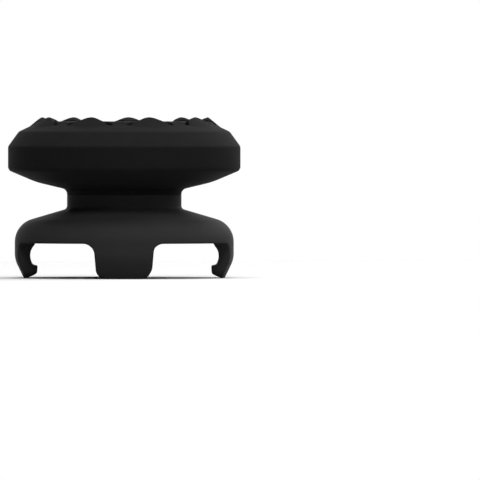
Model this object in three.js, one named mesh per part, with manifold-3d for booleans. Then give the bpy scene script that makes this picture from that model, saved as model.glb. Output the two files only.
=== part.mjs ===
// A clip-on thumb grip for a thumbstick: a soft cap with a diamond tread, on a rigid base with four clips
import * as THREE from 'three';
import { mergeVertices } from 'three/addons/utils/BufferGeometryUtils.js';
import Module from 'manifold-3d';

// Socket for the stick's head, and the clips that hold it (all lengths in millimetres)
const socketRadius = 9.67;
const ceilingHeight = 5.05;
const ceilingRounding = 0.5;
const rimGrooveHeight = 1.9;
const rimGrooveDepth = 0.26;
const rimGrooveGap = 0.1;
const barbDepth = 0.47;
const barbHeight = 1.25;
const barbRounding = 0.25;
const leadInWidth = 0.95;
const leadInRise = 0.42;
const tipFlat = 0.15;
const clipBendHeight = 1.88;
const clipBendRounding = 2.7;

// Outline of a clip seen from outside, and the windows between the clips
const windowBand = 1.52;
const clipHalfWidthTop = 3;
const clipHalfWidthBottom = 2.7;
const clipCornerRounding = 1;
const clipRootRounding = 1.15;

// Domed skirt over the socket, and the neck
const clipWall = 1.39;
const roofThickness = 1.95;
const skirtSlopeDeg = 16.5;
const skirtRounding = 2.4;
const neckRadius = 5.78;
const neckHeight = 2;
const neckRootRounding = 0.35;
const neckTopRounding = 0.75;
const collarHeight = 0.6;

// Cap, from its underside up to the crests of the tread
const capRadius = 11.74;
const undersideInnerSlopeDeg = 13;
const undersideOuterSlopeDeg = 22.5;
const undersideOuterWidth = 3.04;
const undersideRounding = 6;
const sideHeight = 2.35;
const sideBottomRounding = 0.45;
const sideTopRounding = 0.4;
const bevelWidth = 1.04;
const bevelDrop = 1.4;
const bevelRounding = 0.3;
const shoulderWidth = 1;
const shoulderDrop = 0.54;
const rimWidth = 1.2;
const rimDrop = 0.98;

// Diamond tread: two families of spiral grooves cross in a shallow dish, and the rim rises in crests
const crestCount = 9;
const crestTurnDeg = 17.6;
const dishDepth = 1.3;
const spiralSlope = 0.82;
const padOverhang = 2.35;
const grooveDepth = 0.45;
const grooveShare = 0.055;
const padPillow = 0.1;
const waveWidth = 2.5;
const waveDrop = 0.8;
const valleyDrop = 0.8;
const valleySlope = 0.6;
const hubRadius = 2;
const hubRise = 0.1;
const moatWidth = 0.35;
const moatDepth = 0.4;

// Spigot and flange of the base, moulded into the cap
const spigotRadius = 3.6;
const flangeOverhang = 0.72;
const flangeThickness = 1.2;
const flangeCover = 1.07;
const spigotClearance = 0.3;

// Fineness of the round surfaces
const turnSegments = 60;
const arcSegments = 3;

const capColour = 0x131313;
const baseColour = 0x1e1e1f;

// Heights and radii that follow from the sizes above
const slope = (degrees) => Math.tan(THREE.MathUtils.degToRad(degrees));
const barbRadius = socketRadius - barbDepth;
const tipRadius = barbRadius + leadInWidth;
const windowHeight = ceilingHeight - windowBand;
const skirtRadius = socketRadius + clipWall;
const skirtRootHeight = ceilingHeight + roofThickness;
const skirtEdgeHeight = skirtRootHeight - (skirtRadius - neckRadius) * slope(skirtSlopeDeg);
const undersideHeight = skirtRootHeight + neckHeight;
const partingHeight = undersideHeight - collarHeight;
const undersideBendRadius = capRadius - undersideOuterWidth;
const undersideBendHeight = undersideHeight + (undersideBendRadius - neckRadius) * slope(undersideInnerSlopeDeg);
const sideBottomHeight = undersideBendHeight + undersideOuterWidth * slope(undersideOuterSlopeDeg);
const sideTopHeight = sideBottomHeight + sideHeight;
const bevelTopHeight = sideTopHeight + bevelDrop;
const rimEdgeHeight = bevelTopHeight + shoulderDrop;
const crestHeight = rimEdgeHeight + rimDrop;
const bevelTopRadius = capRadius - bevelWidth;
const rimEdgeRadius = bevelTopRadius - shoulderWidth;
const crestRadius = rimEdgeRadius - rimWidth;
const flangeRadius = neckRadius + flangeOverhang;
const pocketRadius = flangeRadius + spigotClearance;
const pocketBottom = undersideHeight + (pocketRadius - neckRadius) * slope(undersideInnerSlopeDeg) + flangeCover;
const flangeBottom = pocketBottom + spigotClearance;
const flangeTop = flangeBottom + flangeThickness;
const pocketTop = flangeTop + spigotClearance;

const wasm = await Module();
wasm.setup();

function toSolid(geometry) {
  geometry.deleteAttribute('normal');
  geometry.deleteAttribute('uv');
  const merged = mergeVertices(geometry, 1e-5);
  const vertProperties = new Float32Array(merged.attributes.position.array);
  const triVerts = new Uint32Array(merged.index.array);
  return new wasm.Manifold(new wasm.Mesh({ numProp: 3, vertProperties, triVerts }));
}

function toGeometry(solid) {
  const mesh = solid.getMesh();
  const geometry = new THREE.BufferGeometry();
  geometry.setAttribute('position', new THREE.BufferAttribute(new Float32Array(mesh.vertProperties), 3));
  geometry.setIndex(new THREE.BufferAttribute(new Uint32Array(mesh.triVerts), 1));
  geometry.computeVertexNormals();
  return geometry;
}

// Points of an outline with rounded corners, from corners given as [x, y] or [x, y, rounding]
function roundedOutline(corners) {
  const points = [];
  corners.forEach(([x, y, rounding = 0], index) => {
    const corner = new THREE.Vector2(x, y);
    if (rounding === 0) {
      points.push(corner);
      return;
    }
    const [beforeX, beforeY, beforeRounding = 0] = corners.at(index - 1);
    const [afterX, afterY, afterRounding = 0] = corners[(index + 1) % corners.length];
    const toBefore = new THREE.Vector2(beforeX, beforeY).sub(corner);
    const toAfter = new THREE.Vector2(afterX, afterY).sub(corner);
    const roomBefore = toBefore.length() * (beforeRounding > 0 ? 0.49 : 0.98);
    const roomAfter = toAfter.length() * (afterRounding > 0 ? 0.49 : 0.98);
    toBefore.normalize();
    toAfter.normalize();
    const halfAngle = Math.acos(toBefore.dot(toAfter)) / 2;
    const setBack = Math.min(rounding / Math.tan(halfAngle), roomBefore, roomAfter);
    const toCentre = toBefore.clone().add(toAfter).normalize();
    const centre = corner.clone().addScaledVector(toCentre, setBack / Math.cos(halfAngle));
    const start = corner.clone().addScaledVector(toBefore, setBack).sub(centre);
    const end = corner.clone().addScaledVector(toAfter, setBack).sub(centre);
    const sweep = Math.atan2(start.cross(end), start.dot(end));
    for (let step = 0; step <= arcSegments; step += 1) {
      const spoke = start.clone().rotateAround(new THREE.Vector2(), sweep * step / arcSegments);
      points.push(spoke.add(centre));
    }
  });
  return points;
}

// A solid of revolution about Z, from corners [radius, height, rounding] listed anticlockwise
function turnedSolid(corners) {
  const outline = roundedOutline(corners);
  const geometry = new THREE.LatheGeometry([...outline, outline[0].clone()], turnSegments);
  geometry.rotateX(Math.PI / 2);
  return toSolid(geometry);
}

// The hollow that the rim of the stick's head sits in, as a shallow arc on the socket's wall
function rimGroove() {
  const bottom = barbHeight + rimGrooveGap;
  const steps = arcSegments + 1;
  return Array.from({ length: steps + 1 }, (_, step) => {
    const share = step / steps;
    const bulge = 4 * share * (1 - share);
    return [socketRadius + rimGrooveDepth * bulge, bottom + rimGrooveHeight * share];
  });
}

// A clip's outline seen from outside, flaring into the band over the windows
function clipOutline() {
  const below = windowHeight;
  const above = windowHeight + windowBand;
  const flare = clipRootRounding * 2;
  const rightSide = [
    [clipHalfWidthBottom, 0, clipCornerRounding],
    [clipHalfWidthTop, below, clipRootRounding],
    [clipHalfWidthTop + flare, below],
    [clipHalfWidthTop + flare, above],
  ];
  const leftSide = rightSide.map(([x, y, rounding]) => [-x, y, rounding]).reverse();
  return roundedOutline([...rightSide, ...leftSide]);
}

// A bar with the clip's outline that runs right through the part, along Y or turned to run along X
function clipBar(turn) {
  const length = 4 * skirtRadius;
  const geometry = new THREE.ExtrudeGeometry(new THREE.Shape(clipOutline()), { depth: length, bevelEnabled: false });
  geometry.translate(0, 0, -length / 2);
  geometry.rotateX(Math.PI / 2);
  geometry.rotateZ(turn);
  return toSolid(geometry);
}

// All that lies below the windows' top edge and outside the four clips
function windowCutter() {
  const reach = 2 * skirtRadius;
  const block = new THREE.BoxGeometry(reach * 1.2, reach * 1.2, 2 * windowHeight);
  return toSolid(block).subtract(clipBar(0)).subtract(clipBar(Math.PI / 2));
}

function clipBase() {
  const body = turnedSolid([
    [0, ceilingHeight],
    [socketRadius, ceilingHeight, ceilingRounding],
    ...rimGroove().reverse(),
    [barbRadius, barbHeight, barbRounding / 2],
    [barbRadius, leadInRise, barbRounding],
    [tipRadius - tipFlat, 0],
    [tipRadius, 0],
    [skirtRadius, clipBendHeight, clipBendRounding],
    [skirtRadius, skirtEdgeHeight, skirtRounding],
    [neckRadius, skirtRootHeight, neckRootRounding],
    [neckRadius, partingHeight],
    [spigotRadius, partingHeight],
    [spigotRadius, flangeBottom],
    [flangeRadius, flangeBottom],
    [flangeRadius, flangeTop],
    [0, flangeTop],
  ]);
  return body.subtract(windowCutter());
}

// Height of the tread at a radius and an angle from a crest, before any groove
function padHeight(radius, angle) {
  const dish = crestHeight - dishDepth * (1 - (radius / crestRadius) ** 2);
  const wave = Math.max(0, radius - crestRadius + waveWidth) / waveWidth;
  const drop = waveDrop * wave ** 2 * (1 - Math.cos(crestCount * angle)) / 2;
  return dish - drop;
}

// A point of the tread, where p and q count the diamonds along the two families of grooves
function treadPoint(p, q) {
  const sector = 2 * Math.PI / crestCount;
  const radius = (crestRadius + padOverhang) * Math.exp((p - q) * sector / (2 * spiralSlope));
  const angle = (p + q) * sector / 2;
  const offGroove = Math.max(Math.abs(p - Math.round(p)), Math.abs(q - Math.round(q)));
  const edge = offGroove > 0.5 - grooveShare / 2 ? grooveDepth : 0;
  const pillow = padPillow * (offGroove * 2) ** 2;
  const valley = crestHeight - valleyDrop + Math.min(0, radius - crestRadius) * valleySlope;
  const height = Math.max(padHeight(radius, angle) - pillow - edge, valley);
  const turn = angle + THREE.MathUtils.degToRad(crestTurnDeg - 90);
  return new THREE.Vector3(radius * Math.cos(turn), radius * Math.sin(turn), height);
}

// Triangles of the tread's surface, pad by pad in rows from the rim inwards, anticlockwise from above
function treadSurface() {
  const sector = 2 * Math.PI / crestCount;
  const moatRadius = hubRadius + moatWidth;
  const rowDepth = sector / (2 * spiralSlope);
  const rows = 1 + Math.ceil(Math.log((crestRadius + padOverhang) / moatRadius) / rowDepth);
  const lines = [-0.5, grooveShare - 0.5, -0.18, 0.18, 0.5 - grooveShare, 0.5];
  const triangles = [];
  for (let row = 0; row < rows; row += 1) {
    for (let column = 0; column < crestCount; column += 1) {
      for (let i = 0; i + 1 < lines.length; i += 1) {
        for (let j = 0; j + 1 < lines.length; j += 1) {
          const a = treadPoint(column + lines[i], column + row + lines[j]);
          const b = treadPoint(column + lines[i + 1], column + row + lines[j]);
          const c = treadPoint(column + lines[i + 1], column + row + lines[j + 1]);
          const d = treadPoint(column + lines[i], column + row + lines[j + 1]);
          triangles.push([a, b, c], [a, c, d]);
        }
      }
    }
  }
  return triangles;
}

// The solid between a surface, given as triangles, and a level plane above it
function solidAbove(triangles, level) {
  const raised = (point) => new THREE.Vector3(point.x, point.y, level);
  const name = (point) => `${point.x.toFixed(3)} ${point.y.toFixed(3)}`;
  const edges = new Map();
  const faces = [];
  triangles.forEach(([a, b, c]) => {
    faces.push([c, b, a], [raised(a), raised(b), raised(c)]);
    [[a, b], [b, c], [c, a]].forEach(([from, to]) => {
      edges.set(`${name(from)} ${name(to)}`, [from, to, `${name(to)} ${name(from)}`]);
    });
  });
  edges.forEach(([from, to, opposite]) => {
    if (!edges.has(opposite)) {
      faces.push([from, to, raised(to)], [from, raised(to), raised(from)]);
    }
  });
  const geometry = new THREE.BufferGeometry().setFromPoints(faces.flat());
  return toSolid(mergeVertices(geometry, 1e-3));
}

// The plain round hub in the middle of the tread, and the moat around it
function hub() {
  const root = padHeight(0, 0) - moatDepth - grooveDepth;
  return turnedSolid([
    [0, root],
    [hubRadius, root],
    [hubRadius, padHeight(hubRadius, 0), hubRise],
    [0, padHeight(0, 0) + hubRise],
  ]);
}

function moat() {
  const moatRadius = hubRadius + moatWidth;
  return turnedSolid([
    [0, padHeight(0, 0) - moatDepth],
    [moatRadius, padHeight(0, 0) - moatDepth],
    [moatRadius, crestHeight + rimDrop],
    [0, crestHeight + rimDrop],
  ]);
}

function thumbCap() {
  const blank = turnedSolid([
    [0, pocketTop],
    [pocketRadius, pocketTop],
    [pocketRadius, pocketBottom],
    [spigotRadius + spigotClearance, pocketBottom],
    [spigotRadius + spigotClearance, partingHeight],
    [neckRadius, partingHeight],
    [neckRadius, undersideHeight, neckTopRounding],
    [undersideBendRadius, undersideBendHeight, undersideRounding],
    [capRadius, sideBottomHeight, sideBottomRounding],
    [capRadius, sideTopHeight, sideTopRounding],
    [bevelTopRadius, bevelTopHeight, bevelRounding],
    [rimEdgeRadius, rimEdgeHeight],
    [crestRadius, crestHeight],
    [0, crestHeight],
  ]);
  const openSpace = solidAbove(treadSurface(), crestHeight + rimDrop);
  return blank.subtract(openSpace).subtract(moat()).add(hub());
}

function pieceMesh(name, solid, color, roughness) {
  const material = new THREE.MeshStandardMaterial({ color, roughness, metalness: 0 });
  const mesh = new THREE.Mesh(toGeometry(solid), material);
  mesh.name = name;
  return mesh;
}

const grip = new THREE.Group();
grip.add(pieceMesh('thumb_cap', thumbCap(), capColour, 0.75));
grip.add(pieceMesh('clip_base', clipBase(), baseColour, 0.5));

export default grip;
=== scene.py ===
# Looks of a clip-on thumb grip: a matte black cap with a spiral-grooved tread, on a satin black clip base
import math

import bpy
import numpy as np
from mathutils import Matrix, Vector


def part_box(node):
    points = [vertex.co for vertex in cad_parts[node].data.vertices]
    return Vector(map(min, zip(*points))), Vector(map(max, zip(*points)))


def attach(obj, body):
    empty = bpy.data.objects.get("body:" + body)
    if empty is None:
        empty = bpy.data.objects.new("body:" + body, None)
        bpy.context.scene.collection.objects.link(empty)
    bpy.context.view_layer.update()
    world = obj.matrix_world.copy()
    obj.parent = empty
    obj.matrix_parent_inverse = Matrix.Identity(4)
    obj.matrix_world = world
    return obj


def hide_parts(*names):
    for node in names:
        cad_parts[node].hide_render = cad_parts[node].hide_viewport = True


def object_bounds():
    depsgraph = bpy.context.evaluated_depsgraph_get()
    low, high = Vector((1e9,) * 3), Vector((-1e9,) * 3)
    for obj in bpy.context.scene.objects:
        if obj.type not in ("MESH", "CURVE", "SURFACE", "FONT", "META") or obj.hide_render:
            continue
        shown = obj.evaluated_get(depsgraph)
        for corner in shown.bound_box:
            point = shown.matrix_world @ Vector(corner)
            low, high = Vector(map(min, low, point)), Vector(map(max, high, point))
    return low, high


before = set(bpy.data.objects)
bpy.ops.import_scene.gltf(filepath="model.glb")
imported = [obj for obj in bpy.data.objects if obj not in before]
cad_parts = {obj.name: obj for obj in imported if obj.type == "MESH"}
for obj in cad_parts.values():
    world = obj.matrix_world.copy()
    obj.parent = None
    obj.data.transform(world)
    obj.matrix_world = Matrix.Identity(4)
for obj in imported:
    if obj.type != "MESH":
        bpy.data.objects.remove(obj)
cad_low, cad_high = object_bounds()

# The mesh code works in millimetres and this turns them into metres
MM = 0.001

# Sizes taken from the frame
cap_low, cap_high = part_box("thumb_cap")
base_low, base_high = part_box("clip_base")
CAP_RADIUS = (cap_high.x - cap_low.x) / 2 / MM
SKIRT_RADIUS = (base_high.x - base_low.x) / 2 / MM
PARTING_HEIGHT = cap_low.z / MM
FLANGE_TOP = base_high.z / MM

# Cap, measured inwards from its side and upwards from the parting line
UNDERSIDE_HEIGHT = PARTING_HEIGHT + 0.53
UNDERSIDE_BEND_RADIUS = CAP_RADIUS - 2.87
UNDERSIDE_BEND_HEIGHT = UNDERSIDE_HEIGHT + 0.74
SIDE_BOTTOM_HEIGHT = UNDERSIDE_BEND_HEIGHT + 1.21
SIDE_TOP_HEIGHT = SIDE_BOTTOM_HEIGHT + 2.4
BEVEL_TOP_RADIUS = CAP_RADIUS - 1.08
BEVEL_TOP_HEIGHT = SIDE_TOP_HEIGHT + 1.5
RIM_EDGE_RADIUS = CAP_RADIUS - 1.94
RIM_EDGE_HEIGHT = BEVEL_TOP_HEIGHT + 0.41
CREST_RADIUS = RIM_EDGE_RADIUS - 1.3
CREST_HEIGHT = RIM_EDGE_HEIGHT + 1.07
SHOULDER_SLOPE = (RIM_EDGE_HEIGHT - BEVEL_TOP_HEIGHT) / (BEVEL_TOP_RADIUS - RIM_EDGE_RADIUS)
RIM_SLOPE = (CREST_HEIGHT - RIM_EDGE_HEIGHT) / (RIM_EDGE_RADIUS - CREST_RADIUS)
NECK_RADIUS = 5.78
BEVEL_TOP_ROUNDING = 0.8
SIDE_TOP_ROUNDING = 0.5
SIDE_BOTTOM_ROUNDING = 0.55
UNDERSIDE_BEND_ROUNDING = 8
NECK_TOP_ROUNDING = 0.62
CAP_PARTING_EDGE = 0.02

# Crests round the tread's rim, the dish inside them and the waves between them
CREST_COUNT = 9
CREST_TURN_DEG = 17.6
SECTOR = 2 * math.pi / CREST_COUNT
DISH_DEPTH = 1.3
WAVE_WIDTH = 2.5
WAVE_DROP = 0.46
HUMP_SHARE = 0.18
PETAL_DROP = 1.3
PAD_PILLOW = 0.12
TREAD_BLEND = 0.06

# Grooves: their turn for each e-fold of the radius, inside the bend and outside it
SPIRAL_SLOPE = 0.72
SPIRAL_SLOPE_OUTSIDE = 1.1
SPIRAL_BEND_RADIUS = 8.2
SPIRAL_BEND_WIDTH = 0.05
SPIRAL_TURN = 0.238
GROOVE_DEPTH = 1
GROOVE_END_RADIUS = RIM_EDGE_RADIUS - 0.47
GROOVE_END_TAPER = 0.1
GROOVE_FLOOR_HALF_WIDTH = 0.13
GROOVE_HALF_WIDTH = 0.22
# How quickly the painted shade deepens towards a groove's floor
GROOVE_SHADE_GAIN = 3

# Hub in the tread's middle, and the moat round it
HUB_RADIUS = 2
HUB_RISE = 0.1
HUB_EDGE_DROP = 0.03
HUB_CROWN_SHARE = 0.4
HUB_CROWN_ROUNDING = 0.5
HUB_CENTRE_RADIUS = 0.2
MOAT_WIDTH = 0.35
MOAT_DEPTH = 0.4
MOAT_WALL_HEIGHT = 0.3
MOAT_DRAFT = 0.02
MOAT_ROUNDING = 0.12

# Clip base, measured inwards from the skirt's side and upwards from the clips' tips
SOCKET_RADIUS = SKIRT_RADIUS - 1.39
CEILING_HEIGHT = 5.05
WINDOW_HEIGHT = CEILING_HEIGHT - 1.52
SKIRT_SLOPE = math.tan(math.radians(16.5))
SKIRT_ROOT_HEIGHT = CEILING_HEIGHT + 1.95
SKIRT_EDGE_HEIGHT = SKIRT_ROOT_HEIGHT - (SKIRT_RADIUS - NECK_RADIUS) * SKIRT_SLOPE
BARB_RADIUS = SOCKET_RADIUS - 0.47
BARB_HEIGHT = 1.25
LEAD_IN_RISE = 0.42
TIP_RADIUS = BARB_RADIUS + 0.95
TIP_FLAT = 0.15
CLIP_BEND_HEIGHT = 1.88
RIM_GROOVE_BOTTOM = BARB_HEIGHT + 0.1
RIM_GROOVE_HEIGHT = 1.9
RIM_GROOVE_DEPTH = 0.26
CLIP_HALF_WIDTH_TOP = 3
CLIP_HALF_WIDTH_BOTTOM = 2.7
CLIP_TURNS = [math.radians(-90 + 90 * clip) for clip in range(4)]
QUARTER_TURN = math.pi / 2

# Roundings of the clip base
CLIP_BEND_ROUNDING = 2.7
SKIRT_EDGE_ROUNDING = 2.4
SKIRT_ROOT_ROUNDING = 0.4
PARTING_EDGE = 0.05
LEAD_IN_ROUNDING = 0.25
BARB_ROUNDING = 0.1
CEILING_ROUNDING = 0.5
CLIP_CORNER_ROUNDING = 1
CLIP_ROOT_ROUNDING = 1.15
EDGE_ROUNDING = 0.12
EDGE_ROUNDING_SHARE = 0.35

# Spigot and flange inside the cap, and the pocket that holds them
SPIGOT_RADIUS = 3.6
SPIGOT_CLEARANCE = 0.3
FLANGE_RADIUS = NECK_RADIUS + 0.72
FLANGE_BOTTOM = FLANGE_TOP - 1.2

# Fineness of the meshes
TREAD_STEPS = 40
HALF_STEP = SECTOR / TREAD_STEPS / 2
COURSE_SAMPLES = 2000
ARC_STEPS = 8
HUB_ARC_STEPS = 4
BASE_ARC_STEPS = 16
RIM_GROOVE_POINTS = 17
CLIP_ARC_POINTS = 15
CLIP_SIDE_POINTS = 16
CLIP_COLUMNS = 28
WINDOW_COLUMNS = 24
EDGE_STEPS = 3
ACROSS_CLIP = np.linspace(-1, 1, CLIP_COLUMNS + 1)
BAND_ROW_GAP = 0.02
DISC_CENTRE_RADIUS = 0.5
SHARP_DEG = 40

# Share of the shorter side at a corner that its rounding may take up
ROUNDING_ROOM = 0.9


def rounded_outline(corners, steps=ARC_STEPS):
    """Points of an open outline, from corners given as (x, y) or (x, y, rounding)."""
    points = []
    for index, (x, y, *rest) in enumerate(corners):
        corner = np.array([x, y], float)
        rounding = rest[0] if rest else 0
        if not rounding:
            points.append(corner)
            continue
        before = np.array(corners[index - 1][:2], float) - corner
        after = np.array(corners[index + 1][:2], float) - corner
        room = ROUNDING_ROOM * min(np.linalg.norm(before), np.linalg.norm(after))
        before /= np.linalg.norm(before)
        after /= np.linalg.norm(after)
        half_angle = math.acos(before @ after) / 2
        set_back = min(rounding / math.tan(half_angle), room)
        radius = set_back * math.tan(half_angle)
        inwards = (before + after) / np.linalg.norm(before + after)
        centre = corner + inwards * set_back / math.cos(half_angle)
        start = corner + before * set_back - centre
        end = corner + after * set_back - centre
        sweep = math.atan2(start[0] * end[1] - start[1] * end[0], start @ end)
        first = math.atan2(start[1], start[0])
        for step in range(steps + 1):
            angle = first + sweep * step / steps
            points.append(centre + radius * np.array([math.cos(angle), math.sin(angle)]))
    return np.array(points)


def ring_points(angles, radius, height):
    """Points of a level ring; the height may differ from point to point."""
    heights = np.broadcast_to(height, np.shape(angles))
    return np.stack([radius * np.cos(angles), radius * np.sin(angles), heights], axis=1)


class MeshBuilder:
    """Collects rows of points in millimetres and the faces between them."""

    def __init__(self):
        self.points = []
        self.painted_groove_shades = []
        self.faces = []
        self.count = 0

    def row(self, points, painted_groove_shade=0):
        """Adds points, with how much painted shade and dull roughness each gets down in a groove (0 to 1),
        and gives their numbers.
        """
        points = np.asarray(points, float).reshape(-1, 3)
        self.points.append(points)
        self.painted_groove_shades.append(np.broadcast_to(painted_groove_shade, len(points)))
        self.count += len(points)
        return list(range(self.count - len(points), self.count))

    def strip(self, first, second, closed=True):
        """Quads between two rows."""
        last = len(first) if closed else len(first) - 1
        for i in range(last):
            j = (i + 1) % len(first)
            self.faces.append((first[i], first[j], second[j], second[i]))

    def zigzag(self, first, second, second_ahead):
        """Triangles between two closed rows whose points are half a step apart."""
        count = len(first)
        for i in range(count):
            j = (i + 1) % count
            if second_ahead:
                self.faces.append((first[i], first[j], second[i]))
                self.faces.append((first[j], second[j], second[i]))
            else:
                self.faces.append((first[i], second[j], second[i]))
                self.faces.append((first[i], first[j], second[j]))

    def lathe(self, start, angles, outline, facing_back=False):
        """Rings turned from an outline of (radius, height) and joined on to a row; gives the last row."""
        previous = start
        for radius, height in outline:
            current = self.row(ring_points(angles, radius, height))
            if facing_back:
                self.strip(current, previous)
            else:
                self.strip(previous, current)
            previous = current
        return previous

    def fan(self, ring, height, facing_down=False):
        """Closes a ring with triangles to a point on the axis."""
        middle = self.row([(0, 0, height)])[0]
        for i, here in enumerate(ring):
            ahead = ring[(i + 1) % len(ring)]
            self.faces.append((ahead, here, middle) if facing_down else (here, ahead, middle))

    def piece(self, name, material, node, slot_name):
        """Makes the object that stands for a CAD node."""
        mesh = bpy.data.meshes.new(name)
        mesh.from_pydata((np.concatenate(self.points) * MM).tolist(), [], self.faces)
        mesh.materials.append(material)
        # Mask of painted shade in the grooves, which also makes them rough
        painted_groove_shade = mesh.attributes.new("painted_groove_shade", "FLOAT", "POINT")
        painted_groove_shade.data.foreach_set("value", np.concatenate(self.painted_groove_shades))
        mesh.shade_smooth()
        mesh.set_sharp_from_angle(angle=math.radians(SHARP_DEG))
        piece = bpy.data.objects.new(name, mesh)
        bpy.context.scene.collection.objects.link(piece)
        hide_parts(node)
        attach(piece, "root")


# Cap


def smooth_min(a, b, blend):
    """The lower of two heights, with the corner between them rounded over a blend height."""
    share = np.clip(0.5 + 0.5 * (b - a) / blend, 0, 1)
    return b * (1 - share) + a * share - blend * share * (1 - share)


def smooth_step(value, low, high):
    """Rises smoothly from 0 at the low value to 1 at the high one."""
    share = np.clip((value - low) / (high - low), 0, 1)
    return share * share * (3 - 2 * share)


def off_centre(angle):
    """How far an angle is from the nearest whole sector, in sectors (-0.5 to 0.5)."""
    return angle / SECTOR - np.round(angle / SECTOR)


def groove_course(radius):
    """The turn of the grooves at a radius, against a pad's centre line, and how steeply they turn there."""
    run = np.log(radius / SPIRAL_BEND_RADIUS)
    steeper = SPIRAL_SLOPE_OUTSIDE - SPIRAL_SLOPE
    bend = SPIRAL_BEND_WIDTH * np.log1p(np.exp(run / SPIRAL_BEND_WIDTH))
    slope = SPIRAL_SLOPE + steeper / (1 + np.exp(-run / SPIRAL_BEND_WIDTH))
    return SPIRAL_SLOPE * run + steeper * bend - SPIRAL_TURN, slope


def groove_share(radius, off_p, off_q, slope):
    """The share of the grooves' depth (0 to 1), from the places between the two families of grooves."""
    pad_width = SECTOR * radius / math.hypot(1, slope)
    to_groove = (0.5 - np.maximum(off_p, off_q)) * pad_width
    groove = 1 - smooth_step(to_groove, GROOVE_FLOOR_HALF_WIDTH, GROOVE_HALF_WIDTH)
    return groove * (1 - smooth_step(radius, GROOVE_END_RADIUS - GROOVE_END_TAPER, GROOVE_END_RADIUS))


def tread_height(radius, angle):
    """Heights of the cap's top at a radius and angles from a crest, and how much painted shade its grooves
    get there.
    """
    turn, slope = groove_course(radius)
    off_p = np.abs(off_centre(angle + turn))
    off_q = np.abs(off_centre(angle - turn))
    off_crest = off_centre(angle)
    dish = CREST_HEIGHT - DISH_DEPTH * (1 - (radius / CREST_RADIUS) ** 2)
    wave = max(0, radius - CREST_RADIUS + WAVE_WIDTH) / WAVE_WIDTH
    pads = dish - WAVE_DROP * wave ** 2 * (1 - np.exp(-(off_crest / HUMP_SHARE) ** 2))
    pads = pads - PAD_PILLOW * ((2 * off_p) ** 4 + (2 * off_q) ** 4)
    groove = groove_share(radius, off_p, off_q, slope)
    carved = pads - GROOVE_DEPTH * groove
    shoulder = RIM_EDGE_HEIGHT + (RIM_EDGE_RADIUS - radius) * SHOULDER_SLOPE
    petal = RIM_EDGE_HEIGHT + (RIM_EDGE_RADIUS - radius) * RIM_SLOPE - PETAL_DROP * off_crest ** 2
    heights = smooth_min(carved, np.maximum(petal, shoulder), TREAD_BLEND)
    return heights, np.minimum(1, GROOVE_SHADE_GAIN * groove)


def add_tread(builder):
    """The tread's rows from the rim inwards, with points on the grooves; gives its outer and inner row."""
    angles = np.arange(CREST_COUNT * TREAD_STEPS) * SECTOR / TREAD_STEPS
    crest_turn = math.radians(CREST_TURN_DEG - 90)
    radii = np.linspace(HUB_RADIUS, RIM_EDGE_RADIUS, COURSE_SAMPLES)
    turns = groove_course(radii)[0]
    innermost = groove_course(HUB_RADIUS + MOAT_WIDTH)[0]
    rings = []
    index = math.ceil(-turns[-1] / HALF_STEP)
    while -index * HALF_STEP > innermost:
        radius = np.interp(-index * HALF_STEP, turns, radii)
        ahead = index % 2
        from_crest = angles + ahead * HALF_STEP
        # The second value is the mask of painted shade in the grooves
        heights, painted_groove_shade = tread_height(radius, from_crest)
        ring_angles = from_crest + crest_turn
        row = builder.row(ring_points(ring_angles, radius, heights), painted_groove_shade)
        rings.append((row, ring_angles, ahead))
        index += 1
    for (outer, _, outer_ahead), (inner, _, inner_ahead) in zip(rings, rings[1:]):
        builder.zigzag(outer, inner, inner_ahead > outer_ahead)
    return rings[0][:2], rings[-1][:2]


def hub_outline():
    """The moat and the hub, from the innermost row of the tread to the middle."""
    floor = CREST_HEIGHT - DISH_DEPTH - MOAT_DEPTH
    top = CREST_HEIGHT - DISH_DEPTH + HUB_RISE
    return rounded_outline([
        (HUB_RADIUS + MOAT_WIDTH - MOAT_DRAFT, floor + MOAT_WALL_HEIGHT),
        (HUB_RADIUS + MOAT_WIDTH - 2 * MOAT_DRAFT, floor, MOAT_ROUNDING),
        (HUB_RADIUS + MOAT_DRAFT, floor, MOAT_ROUNDING),
        (HUB_RADIUS, top - HUB_EDGE_DROP, MOAT_ROUNDING),
        (HUB_RADIUS * HUB_CROWN_SHARE, top, HUB_CROWN_ROUNDING),
        (HUB_CENTRE_RADIUS, top),
    ], HUB_ARC_STEPS)


def cap_outline():
    """The cap's outline from the edge of the tread down to the parting line and up inside its pocket."""
    hole = SPIGOT_RADIUS + SPIGOT_CLEARANCE
    pocket = FLANGE_RADIUS + SPIGOT_CLEARANCE
    pocket_bottom = FLANGE_BOTTOM - SPIGOT_CLEARANCE
    pocket_top = FLANGE_TOP + SPIGOT_CLEARANCE
    return rounded_outline([
        (RIM_EDGE_RADIUS, RIM_EDGE_HEIGHT),
        (BEVEL_TOP_RADIUS, BEVEL_TOP_HEIGHT, BEVEL_TOP_ROUNDING),
        (CAP_RADIUS, SIDE_TOP_HEIGHT, SIDE_TOP_ROUNDING),
        (CAP_RADIUS, SIDE_BOTTOM_HEIGHT, SIDE_BOTTOM_ROUNDING),
        (UNDERSIDE_BEND_RADIUS, UNDERSIDE_BEND_HEIGHT, UNDERSIDE_BEND_ROUNDING),
        (NECK_RADIUS, UNDERSIDE_HEIGHT, NECK_TOP_ROUNDING),
        (NECK_RADIUS, PARTING_HEIGHT, CAP_PARTING_EDGE),
        (hole, PARTING_HEIGHT),
        (hole, pocket_bottom),
        (pocket, pocket_bottom),
        (pocket, pocket_top),
    ])


def build_cap(material):
    builder = MeshBuilder()
    (rim, rim_angles), (innermost, inner_angles) = add_tread(builder)
    hub = hub_outline()
    hub_edge = builder.lathe(innermost, inner_angles, hub)
    builder.fan(hub_edge, hub[-1][1])
    outline = cap_outline()
    pocket_edge = builder.lathe(rim, rim_angles, outline, facing_back=True)
    builder.fan(pocket_edge, outline[-1][1], facing_down=True)
    builder.piece("rubber_cap", material, "thumb_cap", "cap_rubber")


# Clip base


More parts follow.
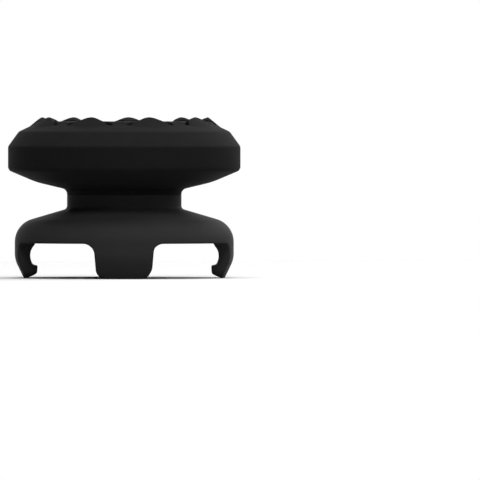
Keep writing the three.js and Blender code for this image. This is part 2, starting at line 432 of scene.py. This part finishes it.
def outer_profile():
    """The base's outside from a clip's tip up to the parting line, as [radius, height]."""
    return rounded_outline([
        (TIP_RADIUS, 0),
        (SKIRT_RADIUS, CLIP_BEND_HEIGHT, CLIP_BEND_ROUNDING),
        (SKIRT_RADIUS, SKIRT_EDGE_HEIGHT, SKIRT_EDGE_ROUNDING),
        (NECK_RADIUS, SKIRT_ROOT_HEIGHT, SKIRT_ROOT_ROUNDING),
        (NECK_RADIUS, PARTING_HEIGHT, PARTING_EDGE),
        (SPIGOT_RADIUS, PARTING_HEIGHT),
    ], BASE_ARC_STEPS)


def inner_profile():
    """The inside of the clips and the socket, from the tip's flat up to the ceiling."""
    groove = [
        (SOCKET_RADIUS + RIM_GROOVE_DEPTH * 4 * s * (1 - s), RIM_GROOVE_BOTTOM + RIM_GROOVE_HEIGHT * s)
        for s in np.linspace(0, 1, RIM_GROOVE_POINTS)
    ]
    return rounded_outline([
        (TIP_RADIUS - TIP_FLAT, 0),
        (BARB_RADIUS, LEAD_IN_RISE, LEAD_IN_ROUNDING),
        (BARB_RADIUS, BARB_HEIGHT, BARB_ROUNDING),
        *groove,
        (SOCKET_RADIUS, CEILING_HEIGHT, CEILING_ROUNDING),
        (DISC_CENTRE_RADIUS, CEILING_HEIGHT),
    ])


OUTER = outer_profile()
INNER = inner_profile()


def radius_at(profile, height):
    """Radius of a profile at a height, for the stretch where the profile only rises."""
    top = profile[:, 1].argmax()
    return float(np.interp(height, profile[:top, 1], profile[:top, 0]))


def clip_edge():
    """A clip's right edge from its tip up into the band, as (x, z, normal x, normal z) at each step."""
    lean = math.atan2(CLIP_HALF_WIDTH_TOP - CLIP_HALF_WIDTH_BOTTOM, WINDOW_HEIGHT)
    bottom = CLIP_CORNER_ROUNDING
    corner_x = CLIP_HALF_WIDTH_BOTTOM + (math.tan(lean) - 1 / math.cos(lean)) * bottom
    root = CLIP_ROOT_ROUNDING
    root_x = CLIP_HALF_WIDTH_TOP + (1 / math.cos(lean) - math.tan(lean)) * root
    root_z = WINDOW_HEIGHT - root
    edge = []
    for angle in np.linspace(-QUARTER_TURN, -lean, CLIP_ARC_POINTS):
        nx, nz = math.cos(angle), math.sin(angle)
        edge.append((corner_x + bottom * nx, bottom + bottom * nz, nx, nz))
    start_x, start_z, nx, nz = edge[-1]
    end_x, end_z = root_x - root * nx, root_z - root * nz
    for share in np.linspace(0, 1, CLIP_SIDE_POINTS)[1:-1]:
        edge.append((start_x + (end_x - start_x) * share, start_z + (end_z - start_z) * share, nx, nz))
    for angle in np.linspace(-lean, -QUARTER_TURN, CLIP_ARC_POINTS):
        nx, nz = math.cos(angle), math.sin(angle)
        edge.append((root_x - root * nx, root_z - root * nz, nx, nz))
    return edge


def on_clip(turn, across, radius, height):
    """A point at a distance across a clip's middle plane, on a given radius."""
    out = math.sqrt(max(radius * radius - across * across, 0))
    x = out * math.cos(turn) - across * math.sin(turn)
    y = out * math.sin(turn) + across * math.cos(turn)
    return (x, y, height)


def column_angles(edge_half_width, radius):
    """Angles of all columns round the base: the clips' columns, and the windows' columns between them."""
    reach = math.asin(edge_half_width / radius)
    clip = np.arcsin(ACROSS_CLIP * edge_half_width / radius)
    window = np.linspace(reach, QUARTER_TURN - reach, WINDOW_COLUMNS + 1)[1:-1]
    quarter = np.concatenate([clip, window])
    return np.concatenate([quarter + turn for turn in CLIP_TURNS])


class BaseWall:
    """One face of the base, outside or inside: its skin on the clips and the ring above the windows."""

    def __init__(self, builder, profile, edge, inward):
        self.builder = builder
        self.profile = profile
        self.edge = edge
        self.inward = inward
        window_radius = radius_at(profile, WINDOW_HEIGHT)
        self.angles = column_angles(edge[-1][0], window_radius)
        self.columns_per_clip = CLIP_COLUMNS + WINDOW_COLUMNS

    def rounding(self, height):
        """Rounding of the cut edge, which is smaller where the wall is thin."""
        thickness = radius_at(OUTER, height) - radius_at(INNER, height)
        return min(EDGE_ROUNDING, EDGE_ROUNDING_SHARE * thickness)

    def radius(self, height, inset=0):
        return radius_at(self.profile, height) + self.inward * inset

    def skin(self):
        """Rows on the clips and round the band, and the loop of points along their shared edge."""
        band_height = WINDOW_HEIGHT + self.rounding(WINDOW_HEIGHT)
        band = self.builder.row(ring_points(self.angles, self.radius(band_height), band_height))
        loop = []
        for clip, turn in enumerate(CLIP_TURNS):
            start = clip * self.columns_per_clip
            rows = []
            for x, z, nx, nz in self.edge[:-1]:
                pull = self.rounding(z)
                height = z - nz * pull
                half = x - nx * pull
                radius = self.radius(height)
                across = [on_clip(turn, u * half, radius, height) for u in ACROSS_CLIP]
                rows.append(self.builder.row(across))
            rows.append(band[start:start + CLIP_COLUMNS + 1])
            for low, high in zip(rows, rows[1:]):
                if self.inward < 0:
                    self.builder.strip(low, high, closed=False)
                else:
                    self.builder.strip(high, low, closed=False)
            loop += [row[0] for row in reversed(rows)]
            loop += rows[0][1:-1]
            loop += [row[-1] for row in rows]
            loop += band[start + CLIP_COLUMNS + 1:start + self.columns_per_clip]
        return band, loop

    def edge_loop(self, turn_share):
        """Points along the edge, turned from the skin (0) to the cut wall (1) round the edge's rounding."""
        angle = turn_share * QUARTER_TURN
        points = []
        for clip, turn in enumerate(CLIP_TURNS):
            side = []
            for x, z, nx, nz in self.edge:
                pull = self.rounding(z)
                height = z - nz * pull * (1 - math.sin(angle))
                half = x - nx * pull * (1 - math.sin(angle))
                radius = self.radius(height, pull * (1 - math.cos(angle)))
                side.append((half, radius, height))
            points += [on_clip(turn, -half, radius, height) for half, radius, height in reversed(side)]
            half, radius, height = side[0]
            points += [on_clip(turn, u * half, radius, height) for u in ACROSS_CLIP[1:-1]]
            points += [on_clip(turn, half, radius, height) for half, radius, height in side]
            start = clip * self.columns_per_clip + CLIP_COLUMNS + 1
            window_angles = self.angles[start:start + WINDOW_COLUMNS - 1]
            half, radius, height = side[-1]
            points += ring_points(window_angles, radius, height).tolist()
        return self.builder.row(points)


def build_base(material):
    builder = MeshBuilder()
    edge = clip_edge()
    outside = BaseWall(builder, OUTER, edge, -1)
    inside = BaseWall(builder, INNER, edge, 1)
    band, loop = outside.skin()
    inner_band, inner_loop = inside.skin()

    shares = [step / EDGE_STEPS for step in range(1, EDGE_STEPS + 1)]
    loops = [loop]
    loops += [outside.edge_loop(share) for share in shares]
    loops += [inside.edge_loop(share) for share in reversed(shares)]
    loops.append(inner_loop)
    for first, second in zip(loops, loops[1:]):
        builder.strip(second, first)

    above = WINDOW_HEIGHT + EDGE_ROUNDING + BAND_ROW_GAP
    spigot = [
        (SPIGOT_RADIUS, FLANGE_BOTTOM),
        (FLANGE_RADIUS, FLANGE_BOTTOM),
        (FLANGE_RADIUS, FLANGE_TOP),
        (DISC_CENTRE_RADIUS, FLANGE_TOP),
    ]
    upper = [point for point in OUTER if point[1] > above] + spigot
    flange_middle = builder.lathe(band, outside.angles, upper)
    builder.fan(flange_middle, FLANGE_TOP)

    socket = [point for point in INNER if point[1] > above]
    ceiling_middle = builder.lathe(inner_band, inside.angles, socket, facing_back=True)
    builder.fan(ceiling_middle, CEILING_HEIGHT, facing_down=True)
    builder.piece("plastic_base", material, "clip_base", "clip_plastic")


# Materials

# Painted shade in the grooves: their tone as a share of the rubber's own, and their roughness
PAINTED_GROOVE_SHADE_TONE = 0.05
RECESS_ROUGHNESS = 1

# Detail of the fine grain, and how many times larger the slow drifts are
GRAIN_DETAIL = 3
DRIFT_SIZE = 12


def grey(tone):
    return (tone, tone, tone, 1)


def new_material(name):
    material = bpy.data.materials.new(name)
    material.use_nodes = True
    nodes = material.node_tree.nodes
    return material, nodes, material.node_tree.links, nodes["Principled BSDF"]


def add_noise(nodes, links, scale):
    """Noise in the object's own space, at a scale in grains to the metre."""
    place = nodes.new("ShaderNodeTexCoord")
    noise = nodes.new("ShaderNodeTexNoise")
    noise.inputs["Scale"].default_value = scale
    links.new(place.outputs["Object"], noise.inputs["Vector"])
    return noise


def grain(nodes, links, shader, scale, strength, height, roughness, drift, tone):
    """A moulded surface: fine bumps, slow drifts of roughness and tone, and grooves with painted shade and
    dull roughness.
    """
    fine = add_noise(nodes, links, scale)
    fine.inputs["Detail"].default_value = GRAIN_DETAIL
    bump = nodes.new("ShaderNodeBump")
    bump.inputs["Strength"].default_value = strength
    bump.inputs["Distance"].default_value = height
    links.new(fine.outputs["Fac"], bump.inputs["Height"])
    links.new(bump.outputs["Normal"], shader.inputs["Normal"])

    slow = add_noise(nodes, links, scale / DRIFT_SIZE)
    painted_groove_shade = nodes.new("ShaderNodeAttribute")
    painted_groove_shade.attribute_name = "painted_groove_shade"

    rough = nodes.new("ShaderNodeMapRange")
    rough.inputs["To Min"].default_value = roughness[0]
    rough.inputs["To Max"].default_value = roughness[1]
    links.new(slow.outputs["Fac"], rough.inputs["Value"])
    dull = nodes.new("ShaderNodeMix")
    dull.inputs["B"].default_value = RECESS_ROUGHNESS
    links.new(painted_groove_shade.outputs["Fac"], dull.inputs["Factor"])
    links.new(rough.outputs["Result"], dull.inputs["A"])
    links.new(dull.outputs["Result"], shader.inputs["Roughness"])

    drifting = nodes.new("ShaderNodeMix")
    drifting.data_type = "RGBA"
    drifting.inputs["A"].default_value = grey(tone * (1 - drift))
    drifting.inputs["B"].default_value = grey(tone * (1 + drift))
    links.new(slow.outputs["Fac"], drifting.inputs["Factor"])
    # Painted shade: the grooves' colour is darkened towards black by the mask
    painted_groove_shade_mix = nodes.new("ShaderNodeMix")
    painted_groove_shade_mix.data_type = "RGBA"
    painted_groove_shade_mix.inputs["B"].default_value = grey(tone * PAINTED_GROOVE_SHADE_TONE)
    links.new(painted_groove_shade.outputs["Fac"], painted_groove_shade_mix.inputs["Factor"])
    links.new(drifting.outputs["Result"], painted_groove_shade_mix.inputs["A"])
    links.new(painted_groove_shade_mix.outputs["Result"], shader.inputs["Base Color"])


def rubber_material():
    material, nodes, links, shader = new_material("matte_rubber")
    shader.inputs["Specular IOR Level"].default_value = 0.01
    grain(nodes, links, shader, scale=9000, strength=0.25, height=0.00002,
          roughness=(0.58, 0.68), drift=0.12, tone=0.0195)
    return material


def plastic_material():
    material, nodes, links, shader = new_material("satin_plastic")
    shader.inputs["Specular IOR Level"].default_value = 0.005
    grain(nodes, links, shader, scale=7000, strength=0.12, height=0.00001,
          roughness=(0.36, 0.46), drift=0.08, tone=0.05)
    return material


# Stage, lamps and camera

# The side of the square that the photograph shows, and the point in its middle
PHOTO_SIDE_MM = 48.48
VIEW_CENTRE_X_MM = 11.69
VIEW_CENTRE_Z_MM = 3.83

LENS_MM = 1000
SENSOR_MM = 36
CLIP_START_M = 0.1
CLIP_END_M = 20

# The floor's side, and its tones where it is seen and in the light that it throws back on the object
FLOOR_SIDE_MM = 300
FLOOR_SEEN = 0.96
FLOOR_BOUNCE = 0.27

LAMP_DISTANCE_M = 1

# Each lamp's name, azimuth and elevation in degrees, side in metres and power in watts
LAMPS = [
    ("top", 0, 89, 0.57, 6.3),
    ("front", 0, 40, 0.29, 2.3),
    ("front_right", 45, 26, 0.26, 0.6),
    ("right", 80, 50, 0.57, 1.9),
    ("back_right", 140, 35, 0.7, 2.5),
    ("low_right", 120, 22, 0.29, 1.6),
    ("low_front", 0, 10, 0.1, 0.32),
]


def seen_directly(nodes, links):
    """1 on rays from the camera, off gloss and through glass, and 0 on those that light matt surfaces."""
    ray = nodes.new("ShaderNodeLightPath")
    seen = ray.outputs["Is Camera Ray"]
    for kind in ("Is Glossy Ray", "Is Transmission Ray"):
        either = nodes.new("ShaderNodeMath")
        either.operation = "MAXIMUM"
        links.new(seen, either.inputs[0])
        links.new(ray.outputs[kind], either.inputs[1])
        seen = either.outputs["Value"]
    return seen


def build_floor():
    """A plain floor that shows white with the object's shadow, and throws less light back."""
    material, nodes, links, shader = new_material("white_stage")
    shader.inputs["Roughness"].default_value = 1
    shader.inputs["Specular IOR Level"].default_value = 0
    tone = nodes.new("ShaderNodeMix")
    tone.data_type = "RGBA"
    tone.inputs["A"].default_value = grey(FLOOR_BOUNCE)
    tone.inputs["B"].default_value = grey(FLOOR_SEEN)
    links.new(seen_directly(nodes, links), tone.inputs["Factor"])
    links.new(tone.outputs["Result"], shader.inputs["Base Color"])
    half = FLOOR_SIDE_MM / 2 * MM
    corners = [(-half, -half, 0), (half, -half, 0), (half, half, 0), (-half, half, 0)]
    mesh = bpy.data.meshes.new("floor")
    mesh.from_pydata(corners, [], [(0, 1, 2, 3)])
    mesh.materials.append(material)
    floor = bpy.data.objects.new("floor", mesh)
    bpy.context.scene.collection.objects.link(floor)


def build_world():
    """White where the camera, gloss or glass looks past the floor, and no light on matt surfaces."""
    world = bpy.data.worlds.new("studio")
    world.use_nodes = True
    bpy.context.scene.world = world
    nodes = world.node_tree.nodes
    links = world.node_tree.links
    dark = nodes["Background"]
    dark.inputs["Color"].default_value = grey(0)
    white = nodes.new("ShaderNodeBackground")
    white.inputs["Color"].default_value = grey(1)
    mix = nodes.new("ShaderNodeMixShader")
    links.new(seen_directly(nodes, links), mix.inputs["Fac"])
    links.new(dark.outputs["Background"], mix.inputs[1])
    links.new(white.outputs["Background"], mix.inputs[2])
    links.new(mix.outputs["Shader"], nodes["World Output"].inputs["Surface"])


def add_lamp(name, azimuth, elevation, side, power):
    """A square soft lamp that faces the object; an azimuth of 0 is the front and 90 the right."""
    data = bpy.data.lights.new(name, "AREA")
    data.size = side
    data.energy = power
    lamp = bpy.data.objects.new(name, data)
    turn = math.radians(azimuth)
    rise = math.radians(elevation)
    direction = Vector((math.sin(turn) * math.cos(rise), -math.cos(turn) * math.cos(rise), math.sin(rise)))
    lamp.location = direction * LAMP_DISTANCE_M + Vector((0, 0, cad_high.z / 2))
    lamp.rotation_mode = "QUATERNION"
    lamp.rotation_quaternion = direction.to_track_quat("Z", "Y")
    bpy.context.scene.collection.objects.link(lamp)


def build_camera():
    """A camera far in front at the crests' height, tilted down to the middle of the photograph."""
    data = bpy.data.cameras.new("camera")
    data.lens = LENS_MM
    data.sensor_width = SENSOR_MM
    data.clip_start = CLIP_START_M
    data.clip_end = CLIP_END_M
    camera = bpy.data.objects.new("camera", data)
    distance = PHOTO_SIDE_MM * LENS_MM / SENSOR_MM
    drop = math.atan2(CREST_HEIGHT - VIEW_CENTRE_Z_MM, distance)
    camera.location = (VIEW_CENTRE_X_MM * MM, -distance * MM, CREST_HEIGHT * MM)
    camera.rotation_euler = (math.pi / 2 - drop, 0, 0)
    bpy.context.scene.collection.objects.link(camera)
    bpy.context.scene.camera = camera


build_camera()
build_cap(rubber_material())
build_base(plastic_material())
build_floor()
build_world()
for lamp in LAMPS:
    add_lamp(*lamp)
bpy.context.scene.view_settings.view_transform = "Standard"
